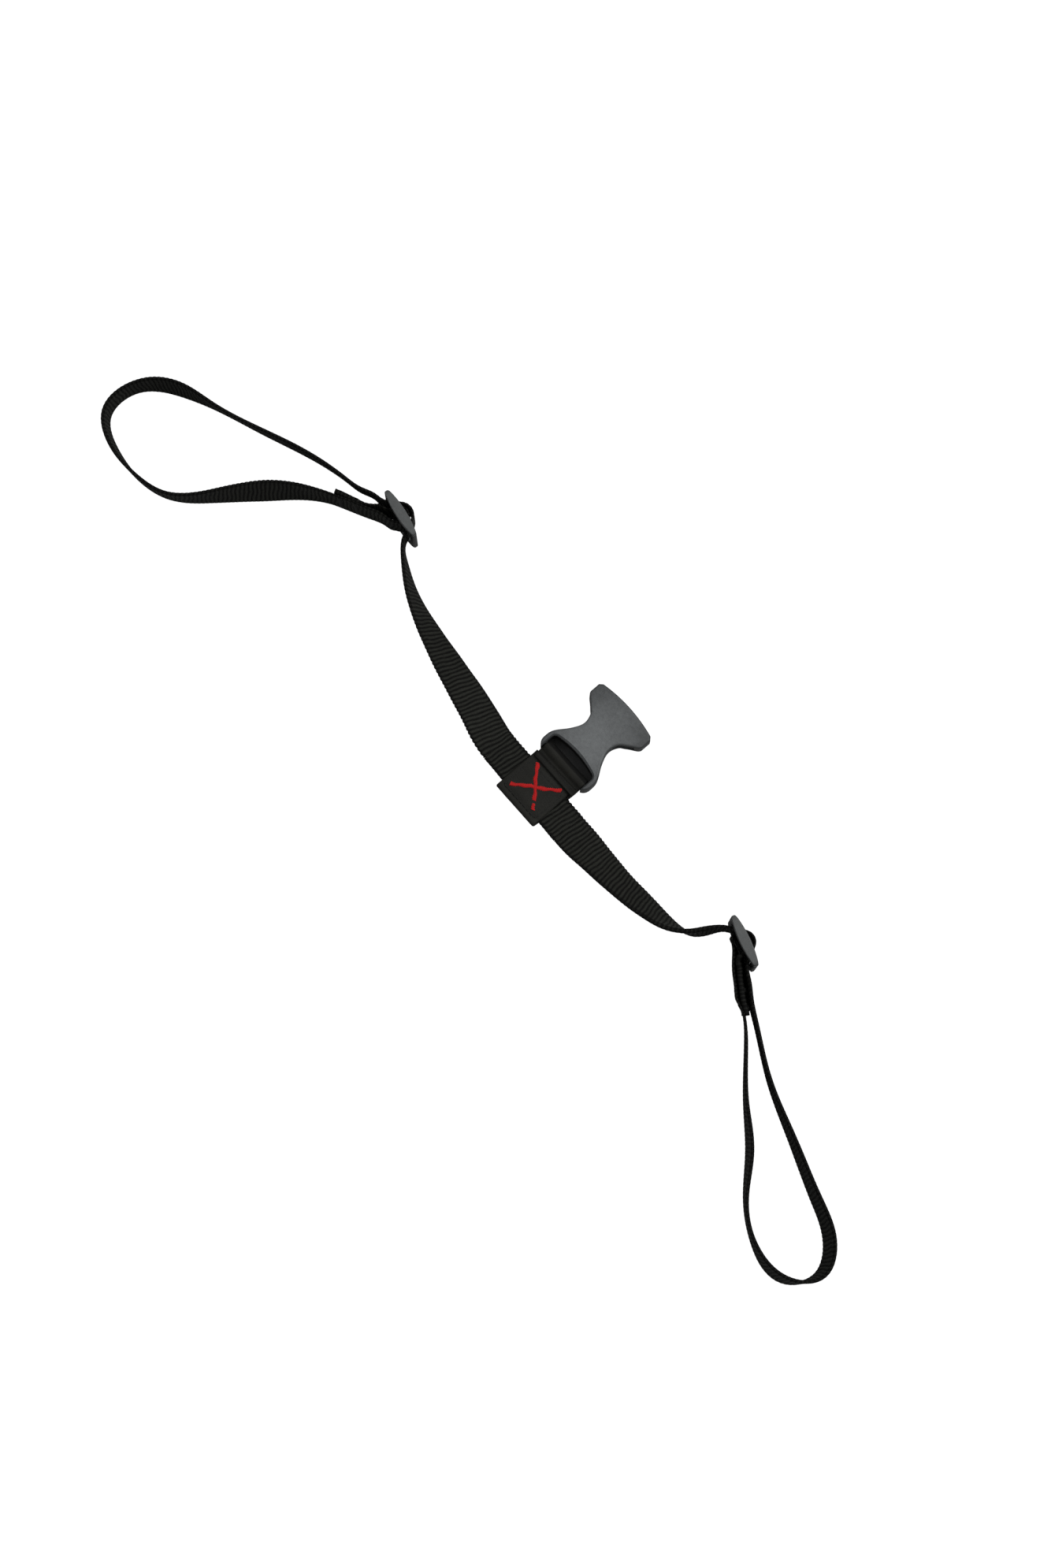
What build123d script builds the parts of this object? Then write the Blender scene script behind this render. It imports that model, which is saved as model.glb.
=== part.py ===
"""Adjustable cross strap: one webbing strap with a slider and a loop at each end, and a buckle
socket held across its middle by a folded web tab.

Millimetres. The strap lies along X and the buckle points along +Y. The origin is on the underside
of the tab, under the middle of its cross stitch, and Z = 0 is the surface that the strap lies on.
"""
from build123d import *
from math import acos, atan2, cos, degrees, hypot, radians, sin
import os

os.makedirs("parts", exist_ok=True)

# Webbing
STRAP_WIDTH = 20.0
STRAP_THICK = 1.5
TAB_WIDTH = 30.0
TAB_THICK = 1.5
LAYER_GAP = 0.1           # between two layers of webbing that lie on each other
STATION_TURN = 10.0       # largest change of direction between two sections, degrees
STATION_STEP = 12.0       # largest distance between two sections

# Buckle socket, measured from its bar end towards its mouth
SOCKET_LENGTH = 51.8
SOCKET_THICK = 11.6
SOCKET_CROWN = 0.8        # how much lower the upper face is at the head's sides
SOCKET_HEAD = 42.8        # width across the mouth
SOCKET_WAIST = 20.5
WAIST_SHARE = 0.675       # of the way from the bar end to the head, to the narrowest place
SHOULDER = 6.0            # depth and width of each shoulder's round
SOCKET_TAIL = 38.5        # width across the bar end
SOCKET_EDGE = 1.3         # round along the top and bottom edges
HEAD_DEPTH = 9.4          # length of the sleeve behind the mouth
MOUTH_CROWN = 2.0         # how far the mouth's edge bows out
SLEEVE_WALL = 2.9
POCKET_HEIGHT = 6.6
TONGUE_WIDTH = 12.0
TONGUE_DEPTH = 33.0
POCKET_DEPTH = 22.0
GUIDE_HEIGHT = 1.0
GUIDE_WIDTH = 1.2         # of each rail that guides the plug's tongue
GUIDE_LENGTH = 17.5
GUIDE_GAP = 0.2           # between the tongue's channel and its guide rails
WEB_BAR_RADIUS = 2.0
WEB_BAR_INSET = 2.2       # of the web bar from the bar end
SLOT_END = 13.1           # from the bar end to the far wall of the web slot
SLOT_CROWN = 2.2          # how far that wall bows towards the mouth
SLOT_CORNER = 3.0
SLOT_SIDE_GAP = 1.3       # beside the tab in its slot
SLOT_BEVEL = 1.0          # height of the bevel round the slot's upper rim
SHELF_START = 7.6         # from the bar end to the thin shelf under the slot
SHELF_THICK = 1.2
SOCKET_CORNER = 5.5       # round of the bar end's corners in plan
MOUTH_CORNER = 1.8        # cut off each corner of the mouth

# Sliders, measured across their bars, with the centre bar upright
SLIDER_LENGTH = 32.0
RAIL_THICK = 6.0
RAIL_WIDTH = 4.2
RAIL_TIP = 1.6            # radius of the rail's ends
TIP_REACH = 1.17          # length of the rail's lens with sharp tips, against its rounded length
RAIL_EDGE = 0.6           # round along each rail's faces
RAIL_CORNER = 4.5         # round of the slider's four outer corners, seen from its broad side
TIP_CLEAR = 0.2           # from the rail's tips to the outline of those corners
SLIDER_BAR_RADIUS = 2.2
END_BAR_WIDTH = 4.2
END_BAR_THICK = 3.0
PASS_GAP = 0.4            # between the passing strap and an end bar
RUN_DROP = 1.4            # how much lower the strap comes in than it goes out to its loop
SEWN_TURN = 42.0          # of the sewn end, down from the slider's length, degrees
PARTING = 18.0            # from the centre bar to where the sewn layers meet
BAR_GAP = 0.15            # between a bar and the webbing round it
STRAP_SIDE_GAP = 0.3      # beside the strap in its slot

# Places
STRAP_SLANT = -1.3        # turn of the strap under the tab, degrees
STRAP_OFFSET = -1.4       # of the strap's middle from the cross stitch
TAB_FOLD = -16.1          # outer face of the fold round the strap's near edge
TAB_HEM = 9.8             # where the returning end of the tab stops
TAB_OVERLAP = 4.4         # length over which the tab's two ends are sewn together
TAB_X = 1.7
SOCKET_X = 2.5
SOCKET_Y = 15.6           # of the bar end
FLAT_HALF = 30.0          # half the length of strap that lies flat under the tab
CROSS_ARM = 26.4
CROSS_WIDTH = 2.4
CROSS_RISE = 0.5

# Derived
STRAP_LIFT = TAB_THICK + LAYER_GAP
TAB_TOP = 2 * TAB_THICK + STRAP_THICK + 2 * LAYER_GAP
WRAP_RADIUS = SLIDER_BAR_RADIUS + BAR_GAP + STRAP_THICK / 2
PASS_RADIUS = WRAP_RADIUS + STRAP_THICK + LAYER_GAP
SLIDER_WIDTH = STRAP_WIDTH + 2 * STRAP_SIDE_GAP + 2 * RAIL_WIDTH
SLIDER_LIFT = RAIL_WIDTH + STRAP_SIDE_GAP
END_BAR_AT = SLIDER_LENGTH / 2 - RAIL_TIP / 2 - END_BAR_WIDTH / 2
SLOT_EDGE = END_BAR_AT - END_BAR_WIDTH / 2
UNDER_BAR = END_BAR_THICK / 2 + PASS_GAP + STRAP_THICK / 2


class Side:
    """One end of the strap: its slider's place and the way its webbing takes."""

    def __init__(self, name, centre, turn, loop_sign, slack, run, loop, sewn_heading):
        self.name = name
        self.pass_radius = PASS_RADIUS + slack
        self.frame = Plane(origin=(*centre, 0), x_dir=(cos(radians(turn)), sin(radians(turn)), 0))
        self.loop_sign = loop_sign          # which end of the slider, along its length, the loop leaves
        self.run = run
        self.loop = loop
        self.sewn_heading = sewn_heading

    def at(self, along, across):
        """A point of the plan, from distances along the slider towards its loop and across it."""
        return self.frame.from_local_coords(Vector(self.loop_sign * along, across, 0))

    def seen_from_bar(self, point):
        """The distances along and across the slider of a point of the plan."""
        local = self.frame.to_local_coords(point)
        return self.loop_sign * local.X, local.Y


# Each row is X, Y, the lean of the webbing from flat in degrees, and the lift of its lower edge.
LEFT = Side(
    "left",
    centre=(-161.5, 42.1),
    turn=-9.0,
    loop_sign=-1,
    slack=2.1,
    run=[
        (-49, 2.5, 14, 0.4),
        (-74, 7, 35, 0),
        (-101, 12, 54, 0),
        (-129, 20.5, 75, 1.5),
        (-142, 27.8, 83, 3.2),
    ],
    loop=[
        (-181.5, 39.8, 87, 3.8),
        (-190.3, 36.9, 85, 2.8),
        (-200, 34.7, 84, 1.8),
        (-226, 27.5, 84, 0.5),
        (-254, 16.5, 82, 0),
        (-281, 6.5, 83, 0),
        (-304, -3, 95, 0),
        (-319.2, -19.3, 89, 0),
        (-318.5, -42, 91, 0),
        (-302, -51.5, 97, 0),
        (-278, -52.5, 95, 0),
        (-260, -47, 96, 0),
        (-240, -25, 85, 0),
        (-221.5, 0.5, 74, 0),
        (-206, 15, 86, 1.0),
        (-194.5, 22, 88, 2.2),
    ],
    sewn_heading=(34, 18),
)
RIGHT = Side(
    "right",
    centre=(141.6, 26.2),
    turn=-16.8,
    loop_sign=1,
    slack=1.1,
    run=[
        (46, -2, -16, 0.4),
        (71, -1.5, -39, 0),
        (95, 1, -56, 0),
        (112, 5, -74, 1.0),
        (121, 13, -86, 2.5),
    ],
    loop=[
        (159.3, 14.2, 90, 4.2),
        (167.5, 8.7, 91, 3.8),
        (178.5, 2.5, 92, 3.0),
        (206.5, -12.5, 91, 0.8),
        (236, -24, 86, 0),
        (270, -36.5, 81, 0),
        (291, -46, 78, 0),
        (300.8, -62.2, 82, 0),
        (290.3, -77, 97, 0),
        (266, -77.3, 91, 0),
        (244, -64, 90, 0),
        (227, -46, 95, 0),
        (207, -30.5, 90, 0),
        (184.8, -10.2, 87, 1.0),
        (170.5, 1, 86, 2.2),
    ],
    sewn_heading=(-17, 10),
)


def between(marks, values, mark):
    """The value at a mark, in straight lines between the given marks."""
    for low, high, first, last in zip(marks, marks[1:], values, values[1:]):
        if mark <= high:
            return first + (last - first) * (mark - low) / (high - low)
    return values[-1]


def along_route(route, start_heading, end_heading):
    """Stations (place, heading, lean, lift) along a smooth curve through a route's rows."""
    points = [Vector(x, y, 0) for x, y, lean, lift in route]
    curve = Spline(*points, tangents=(start_heading, end_heading))
    marks = [0.0]
    for first, last in zip(points, points[1:]):
        marks.append(marks[-1] + (last - first).length)
    leans = [row[2] for row in route]
    lifts = [row[3] for row in route]
    fine = 400
    stations = []
    for index in range(fine + 1):
        share = index / fine
        mark = share * marks[-1]
        place, heading = curve.position_at(share), curve.tangent_at(share)
        lean, lift = between(marks, leans, mark), between(marks, lifts, mark)
        if stations and index < fine:
            last_place, last_heading, last_lean, last_lift = stations[-1]
            turned = heading.get_angle(last_heading)
            close = (place - last_place).length < STATION_STEP
            if close and turned < STATION_TURN and abs(lean - last_lean) < STATION_TURN:
                continue
        stations.append((place, heading, lean, lift))
    return stations


def webbing(stations, width, thick):
    """A band through its stations: upright rectangles turned by their lean, ruled together."""
    sections = []
    for place, heading, lean, lift in stations:
        tilt = radians(lean)
        side = Vector(-heading.Y, heading.X, 0).normalized()
        across = side * cos(tilt) + Vector(0, 0, sin(tilt))
        height = lift + abs(sin(tilt)) * width / 2 + abs(cos(tilt)) * thick / 2
        plane = Plane(origin=place + Vector(0, 0, height), x_dir=across, z_dir=heading)
        sections.append(plane * Rectangle(width, thick))
    return loft(sections, ruled=True)


def tangent_angle(point, radius, turn):
    """Angle, on a circle about the centre bar, of the tangent from a point outside it."""
    reach = hypot(*point)
    return degrees(atan2(point[1], point[0])) + turn * degrees(acos(radius / reach))


def round_bar(side, radius, start, end, lift):
    """Upright stations on a circle about the centre bar, from one angle to another."""
    count = max(2, round(abs(end - start) / STATION_TURN))
    sign = 1 if end > start else -1
    stations = []
    for index in range(count + 1):
        angle = radians(start + (end - start) * index / count)
        place = side.at(radius * cos(angle), radius * sin(angle))
        ahead = side.at(radius * cos(angle) - sign * sin(angle), radius * sin(angle) + sign * cos(angle))
        stations.append((place, (ahead - place).normalized(), 90, lift))
    return stations


def slider_pass(side):
    """Stations of the strap through the slider: under one end bar, over the sewn end on the centre
    bar, and under the other end bar."""
    run_point = (PASS_GAP - SLOT_EDGE, -UNDER_BAR - RUN_DROP)
    loop_point = (SLOT_EDGE - PASS_GAP, -UNDER_BAR)
    start = tangent_angle(run_point, side.pass_radius, -1) % 360
    end = tangent_angle(loop_point, side.pass_radius, 1)
    turn = round_bar(side, side.pass_radius, start, end, SLIDER_LIFT)
    first, last = side.at(*run_point), side.at(*loop_point)
    way_in = (turn[0][0] - first).normalized()
    way_out = (last - turn[-1][0]).normalized()
    return [(first, way_in, 90, SLIDER_LIFT)] + turn + [(last, way_out, 90, SLIDER_LIFT)]


def make_run(side):
    """The twisting stretch from the flat middle of the strap to its slider."""
    sign = 1 if side.run[0][0] > 0 else -1
    slant = radians(STRAP_SLANT)
    start = Vector(sign * FLAT_HALF * cos(slant), STRAP_OFFSET + sign * FLAT_HALF * sin(slant), 0)
    heading = Vector(sign * cos(slant), sign * sin(slant), 0)
    place, way_in, lean, lift = slider_pass(side)[0]
    end_lean = -90 if side.run[0][2] < 0 else 90
    rows = [(start.X, start.Y, 0, STRAP_LIFT)] + side.run + [(place.X, place.Y, end_lean, lift)]
    return webbing(along_route(rows, heading, way_in), STRAP_WIDTH, STRAP_THICK)


def make_loop(side):
    """The strap through the slider and round the loop, to where its end is sewn down."""
    through = slider_pass(side)
    place, way_out, lean, lift = through[-1]
    rows = [(place.X, place.Y, 90, lift)] + side.loop
    stations = through[:-1] + along_route(rows, way_out, Vector(*side.sewn_heading, 0))
    return webbing(stations, STRAP_WIDTH, STRAP_THICK)


def make_sewn_end(side):
    """The strap's end: two layers sewn together, parting to go round the centre bar."""
    x, y, lean, lift = side.loop[-1]
    layer = (STRAP_THICK + LAYER_GAP) / 2
    heading = Vector(*side.sewn_heading, 0).normalized()
    inward = Vector(-heading.Y, heading.X, 0) * -side.loop_sign
    start = Vector(x, y, 0) + inward * layer
    turn = radians(SEWN_TURN)
    parting = side.at(PARTING * cos(turn), -PARTING * sin(turn))
    middle = along_route(
        [(start.X, start.Y, lean, lift), (parting.X, parting.Y, 90, SLIDER_LIFT)],
        heading, side.at(0, 0) - parting,
    )
    outer_layer, inner_layer = [], []
    for place, ahead, lean, lift in middle:
        offset = Vector(-ahead.Y, ahead.X, 0).normalized() * -side.loop_sign * layer
        outer_layer.append((place - offset, ahead, lean, lift))
        inner_layer.append((place + offset, ahead * -1, 180 - lean, lift))
    start_angle = tangent_angle(side.seen_from_bar(outer_layer[-1][0]), WRAP_RADIUS, -1) % 360
    end_angle = tangent_angle(side.seen_from_bar(inner_layer[-1][0]), WRAP_RADIUS, 1)
    bend = round_bar(side, WRAP_RADIUS, start_angle, end_angle, SLIDER_LIFT)
    return webbing(outer_layer + bend + inner_layer[::-1], STRAP_WIDTH, STRAP_THICK)


def make_slider(side):
    """A three-bar slider: two lens-shaped rails, two flat end bars and a round centre bar."""
    half = SLIDER_LENGTH / 2
    edge_angle = 2 * atan2(RAIL_THICK / 2, half * TIP_REACH)
    point = half + RAIL_TIP / sin(edge_angle) - RAIL_TIP
    upper = ThreePointArc((-point, 0), (0, RAIL_THICK / 2), (point, 0))
    lens = make_face([upper, upper.mirror(Plane.XZ)])
    lens = fillet(lens.vertices(), RAIL_TIP)
    rail = extrude(lens, RAIL_WIDTH)
    rails = rail + Pos(0, 0, SLIDER_WIDTH - RAIL_WIDTH) * rail
    outline = Plane.XZ * RectangleRounded(SLIDER_LENGTH + 2 * TIP_CLEAR, SLIDER_WIDTH, RAIL_CORNER)
    rails &= Pos(0, 0, SLIDER_WIDTH / 2) * extrude(outline, RAIL_THICK, both=True)
    rims = rails.edges().filter_by(lambda edge: abs(edge.tangent_at(0.5).Z) < 0.95)
    slider = fillet(rims, RAIL_EDGE)
    bar_length = SLIDER_WIDTH - RAIL_WIDTH
    for sign in (-1, 1):
        bar = RectangleRounded(END_BAR_WIDTH, END_BAR_THICK, END_BAR_THICK * 0.4)
        slider += Pos(sign * END_BAR_AT, 0, RAIL_WIDTH / 2) * extrude(bar, bar_length)
    slider += Pos(0, 0, RAIL_WIDTH / 2) * extrude(Circle(SLIDER_BAR_RADIUS), bar_length)
    return side.frame.location * slider


def make_centre_strap():
    """The flat middle of the strap, through the tab."""
    slant = radians(STRAP_SLANT)
    heading = Vector(cos(slant), sin(slant), 0)
    middle = Vector(0, STRAP_OFFSET, 0)
    stations = [(middle + heading * reach, heading, 0, STRAP_LIFT) for reach in (-FLAT_HALF, FLAT_HALF)]
    return webbing(stations, STRAP_WIDTH, STRAP_THICK)


def make_buckle_web():
    """The tab: one strip from under its hem, over the strap, round the fold, back beneath the strap,
    round the socket's bar and down onto itself again."""
    low, high = TAB_THICK / 2, TAB_TOP - TAB_THICK / 2
    fold = (high - low) / 2
    fold_at = TAB_FOLD + TAB_THICK / 2 + fold
    bar_y, bar_z = SOCKET_Y + WEB_BAR_RADIUS + WEB_BAR_INSET, SOCKET_THICK / 2
    wrap = WEB_BAR_RADIUS + BAR_GAP + TAB_THICK / 2
    hem_z = high + TAB_THICK + LAYER_GAP
    rise = TAB_HEM + TAB_OVERLAP
    strip = [
        Line((rise - 1, high), (fold_at, high)),
        ThreePointArc((fold_at, high), (fold_at - fold, (high + low) / 2), (fold_at, low)),
        Line((fold_at, low), (rise - 4, low)),
        Spline((rise - 4, low), (bar_y, bar_z - wrap), tangents=((1, 0), (1, 0.02))),
        ThreePointArc((bar_y, bar_z - wrap), (bar_y + wrap, bar_z), (bar_y, bar_z + wrap)),
        Spline((bar_y, bar_z + wrap), (rise - 1, hem_z), tangents=((-1, -0.02), (-1, 0))),
        Line((rise - 1, hem_z), (TAB_HEM, hem_z)),
    ]
    profile = trace(strip, line_width=TAB_THICK)
    upright = Plane(origin=(TAB_X - TAB_WIDTH / 2, 0, 0), x_dir=(0, 1, 0), z_dir=(1, 0, 0))
    return extrude(upright * profile, TAB_WIDTH)


def make_cross_stitch():
    """The thick cross of thread on top of the tab."""
    cross = Sketch()
    for turn in (45, 135):
        cross += Rot(0, 0, turn) * SlotOverall(CROSS_ARM, CROSS_WIDTH)
    return extrude(Pos(0, 0, TAB_TOP) * cross, CROSS_RISE)


def socket_outline():
    """Plan of the socket: round-cornered bar end, drawn-in waist, wide head with a bowed mouth."""
    tail, waist, head = SOCKET_TAIL / 2, SOCKET_WAIST / 2, SOCKET_HEAD / 2
    corner, shoulder = SOCKET_CORNER, SHOULDER
    head_start = SOCKET_LENGTH - HEAD_DEPTH
    mouth_corner = SOCKET_LENGTH - MOUTH_CROWN
    mouth_start = (head - MOUTH_CORNER, mouth_corner)
    side = [
        Line((0, 0), (tail - corner, 0)),
        RadiusArc((tail - corner, 0), (tail, corner), -corner),
        Spline(
            (tail, corner), (tail - 0.3, corner + 4.5), (waist + 6.5, 0.34 * head_start),
            (waist + 3.7, 0.434 * head_start), (waist + 1.5, 0.528 * head_start),
            (waist, WAIST_SHARE * head_start), (waist + 2.1, 0.8 * head_start),
            (head - shoulder, head_start - shoulder),
            tangents=((0, 1), (0.75, 0.66)),
        ),
        Bezier(
            (head - shoulder, head_start - shoulder), (head - 0.5 * shoulder, head_start - 0.56 * shoulder),
            (head, head_start - 0.4 * shoulder), (head, head_start),
        ),
        Line((head, head_start), (head, mouth_corner - MOUTH_CORNER)),
        Line((head, mouth_corner - MOUTH_CORNER), mouth_start),
    ]
    mouth = ThreePointArc(mouth_start, (0, SOCKET_LENGTH), (-mouth_start[0], mouth_corner))
    return make_face(side + [mouth] + [edge.mirror(Plane.YZ) for edge in side])


def slot_outline():
    """Plan of the web slot, open at the bar end, with its far wall bowed and its corners round."""
    half = TAB_WIDTH / 2 + SLOT_SIDE_GAP
    wall = SLOT_END - SLOT_CROWN
    outline = make_face([
        Line((-half, wall), (-half, -SLOT_CORNER)),
        Line((-half, -SLOT_CORNER), (half, -SLOT_CORNER)),
        Line((half, -SLOT_CORNER), (half, wall)),
        ThreePointArc((half, wall), (0, SLOT_END), (-half, wall)),
    ])
    return fillet(outline.vertices().group_by(Axis.Y)[-1], SLOT_CORNER)


def make_socket():
    """The moulded socket: crowned shell, plug pocket open at the mouth and at both flanks of the
    waist, guide rails, and a web slot closed by a round bar."""
    middle = SOCKET_THICK / 2
    half = SOCKET_HEAD / 2
    crown = (half ** 2 + SOCKET_CROWN ** 2) / (2 * SOCKET_CROWN)
    arch = Rot(90, 0, 0) * Cylinder(crown, 2 * SOCKET_LENGTH)
    arch = Pos(0, SOCKET_LENGTH / 2, SOCKET_THICK - crown) * arch
    body = extrude(socket_outline(), SOCKET_THICK) & arch
    rims = body.edges().filter_by(lambda edge: abs(edge.tangent_at(0.5).Z) < 0.3)
    body = fillet(rims, SOCKET_EDGE)
    bevel_start = SOCKET_THICK - SOCKET_CROWN / 2 - SLOT_BEVEL
    body -= extrude(Pos(0, 0, -1) * slot_outline(), SOCKET_THICK + 2)
    body -= extrude(Pos(0, 0, bevel_start) * slot_outline(), 2 * SLOT_BEVEL, taper=-40)
    pocket = Pos(0, SOCKET_LENGTH - POCKET_DEPTH / 2, middle) * Box(
        SOCKET_HEAD - 2 * SLEEVE_WALL, POCKET_DEPTH, POCKET_HEIGHT)
    tongue = Pos(0, SOCKET_LENGTH - TONGUE_DEPTH / 2, middle) * Box(
        TONGUE_WIDTH, TONGUE_DEPTH, POCKET_HEIGHT)
    body = body - pocket - tongue
    guide_x = (TONGUE_WIDTH + GUIDE_WIDTH) / 2 + GUIDE_GAP
    guide_y = SOCKET_LENGTH - MOUTH_CROWN - GUIDE_LENGTH / 2
    for side_sign in (-1, 1):
        for face_sign in (-1, 1):
            guide_z = middle + face_sign * (POCKET_HEIGHT - GUIDE_HEIGHT) / 2
            guide = Box(GUIDE_WIDTH, GUIDE_LENGTH, GUIDE_HEIGHT)
            body += Pos(side_sign * guide_x, guide_y, guide_z) * guide
    slot_width = TAB_WIDTH + 2 * SLOT_SIDE_GAP
    shelf = Box(slot_width, SLOT_END - SHELF_START, SHELF_THICK, align=(Align.CENTER, Align.MIN, Align.MIN))
    bar = Rot(0, 90, 0) * Cylinder(WEB_BAR_RADIUS, slot_width + SLEEVE_WALL)
    body += Pos(0, SHELF_START, 0) * shelf
    body += Pos(0, WEB_BAR_RADIUS + WEB_BAR_INSET, middle) * bar
    return Pos(SOCKET_X, SOCKET_Y, 0) * body


nodes = {
    "buckle_socket": make_socket(),
    "buckle_web": make_buckle_web(),
    "cross_stitch": make_cross_stitch(),
    "centre_strap": make_centre_strap(),
}
for side in (LEFT, RIGHT):
    nodes[side.name + "_run"] = make_run(side)
    nodes[side.name + "_loop"] = make_loop(side)
    nodes[side.name + "_sewn_end"] = make_sewn_end(side)
    nodes[side.name + "_slider"] = make_slider(side)

for name, solid in nodes.items():
    export_step(solid, f"parts/{name}.step")
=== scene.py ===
"""Looks of an adjustable cross strap: ribbed webbing with a slider and a loop at each end, and a
buckle socket held across its middle by a folded web tab.

The strap lies along X, the buckle points along +Y, and Z = 0 is the surface that the strap lies
on. Sizes are in millimetres until a mesh is made.
"""

import math

import bpy
import numpy as np
from mathutils import Matrix, Vector


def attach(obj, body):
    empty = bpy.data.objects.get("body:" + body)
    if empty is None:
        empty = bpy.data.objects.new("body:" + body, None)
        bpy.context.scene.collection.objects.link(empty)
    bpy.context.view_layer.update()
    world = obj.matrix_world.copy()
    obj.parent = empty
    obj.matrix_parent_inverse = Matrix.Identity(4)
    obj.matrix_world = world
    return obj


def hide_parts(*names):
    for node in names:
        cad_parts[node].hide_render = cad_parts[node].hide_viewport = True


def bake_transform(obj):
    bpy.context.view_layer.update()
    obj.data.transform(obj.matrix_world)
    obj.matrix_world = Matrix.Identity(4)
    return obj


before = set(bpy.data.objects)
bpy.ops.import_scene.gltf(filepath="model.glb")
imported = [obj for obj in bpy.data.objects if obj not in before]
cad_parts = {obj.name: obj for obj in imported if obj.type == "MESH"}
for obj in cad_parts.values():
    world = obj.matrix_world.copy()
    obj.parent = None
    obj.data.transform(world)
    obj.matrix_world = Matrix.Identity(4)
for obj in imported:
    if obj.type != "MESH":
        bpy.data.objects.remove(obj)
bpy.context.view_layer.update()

MM = 0.001

# Webbing
STRAP_WIDTH = 20.0
STRAP_THICK = 1.5
STRAP_BROADER = 1.055     # how much broader the strap lies than its nominal width
LOOP_FULLER = (1.06, 1.35)  # how much broader and thicker the loops are
FULLER_EDGE = 0.6         # how far the edge of the fuller webbing stands out
TAB_WIDTH = 30.6
TAB_THICK = 1.5
TAB_BROADER = 1.035       # how much broader the tab gets towards its hem
TAB_YARN = 0.8            # the pitch of its weave across and along
TAB_PICK = 1.0
LAYER_GAP = 0.1           # between two layers of webbing
RIB_PITCH = 2.4
RIB_DEPTH = 0.34
SEWN_RIB_DEPTH = 0.22
RIB_SLANT = -0.12         # how far a rib runs along the strap for each millimetre across it
TURN_LENGTH = 40.0        # the stretch over which the ribs of a run change their slant
VALLEY_POWER = 1.6        # the higher, the narrower the valleys between ribs
SELVAGE = 1.3             # width of the plain edge beside the ribs
SELVAGE_FADE = 0.25       # the distance over which the ribs fade into it
GROOVE_DEPTH = 0.10       # the groove between ribs and selvage
GROOVE_REACH = 0.35
YARN_WIDTH = 0.9          # of a warp yarn, and how far it stands out
YARN_RELIEF = 0.02
RIM = 0.62                # the share of the thickness over which the webbing's edge rounds off
EDGE_CROWD = 0.35         # how much closer together the points are at the webbing's edges
STEP = 0.3                # between two rows of points along the webbing
FINE = 0.2                # between two points of a way
SOFTER = 3                # the reach, in rows, by which a way is softened

# Sliders and the socket's bar, as the CAD parts have them
SLIDER_LENGTH = 32.0
RAIL_TIP = 1.6
RAIL_WIDTH = 4.2
END_BAR_WIDTH = 4.2
END_BAR_THICK = 3.0
SLIDER_BAR_RADIUS = 2.2
BAR_GAP = 0.15            # between a bar and the webbing round it
PASS_GAP = 0.4            # between an end bar and the webbing under it
RUN_DROP = 1.4            # how much further below the slider the run passes than the loop
STRAP_SIDE_GAP = 0.3      # between a rail and the webbing's edge
SOCKET_THICK = 11.6
WEB_BAR_RADIUS = 2.0
WEB_BAR_INSET = 2.2       # from the socket's end to its bar

# Places
STRAP_SLANT = -1.3        # degrees from X
STRAP_OFFSET = -1.4       # of the strap's middle along Y
FLAT_HALF = 30.0          # half the length of the flat middle
TAB_X = 1.7
TAB_DRIFT = 1.8           # how far the hem lies further along X than the hidden end
TAB_FOLD = -16.5
TAB_HEM = 10.8
TAB_OVERLAP = 4.4         # how far the hidden end reaches on beneath the hem
FOLD_SEAM = 26.8          # from the tab's hidden end to the seam beside the fold
HEM_SEAM = 13.9           # where the hem is stitched down
HEM_SLANT = 0.035         # how far the hem's seam runs along Y for each millimetre across
CREASE_SHADE_SLANT = 0.037      # the same of the painted shade along the creases beside it
SLOT_SHADE = 4.6          # how far inside the socket's end the painted shade on the tab begins
SOCKET_Y = 15.6

# Thread
SATIN_PITCH = 0.42        # between two stitches of the cross
SATIN_LENGTH = 2.25       # of a stitch, before it varies
SATIN_LEAN = 72           # degrees between an arm of the cross and its stitches
TACK_HALF = 8.2           # half the width that a bar tack covers
TACK_SPACING = 0.55       # between its stitches
TACK_REACH = 1.4          # half the length of its stitches
TACK_PLACES = (3.2, 13.0)  # from the end of the webbing
STITCH_ROWS = 9           # points along a stitch, and round it
STITCH_RING = 8

# Derived
FLAT_HEADING = np.array([math.cos(math.radians(STRAP_SLANT)), math.sin(math.radians(STRAP_SLANT))])
STRAP_LIFT = TAB_THICK + LAYER_GAP
TAB_TOP = 2 * TAB_THICK + STRAP_THICK + 2 * LAYER_GAP
HEM_TOP = TAB_TOP + TAB_THICK + LAYER_GAP
WRAP_RADIUS = SLIDER_BAR_RADIUS + BAR_GAP + STRAP_THICK / 2
PASS_RADIUS = WRAP_RADIUS + STRAP_THICK + LAYER_GAP
SLIDER_LIFT = RAIL_WIDTH + STRAP_SIDE_GAP
SLOT_EDGE = SLIDER_LENGTH / 2 - RAIL_TIP / 2 - END_BAR_WIDTH
UNDER_BAR = END_BAR_THICK / 2 + PASS_GAP + STRAP_THICK / 2

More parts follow.
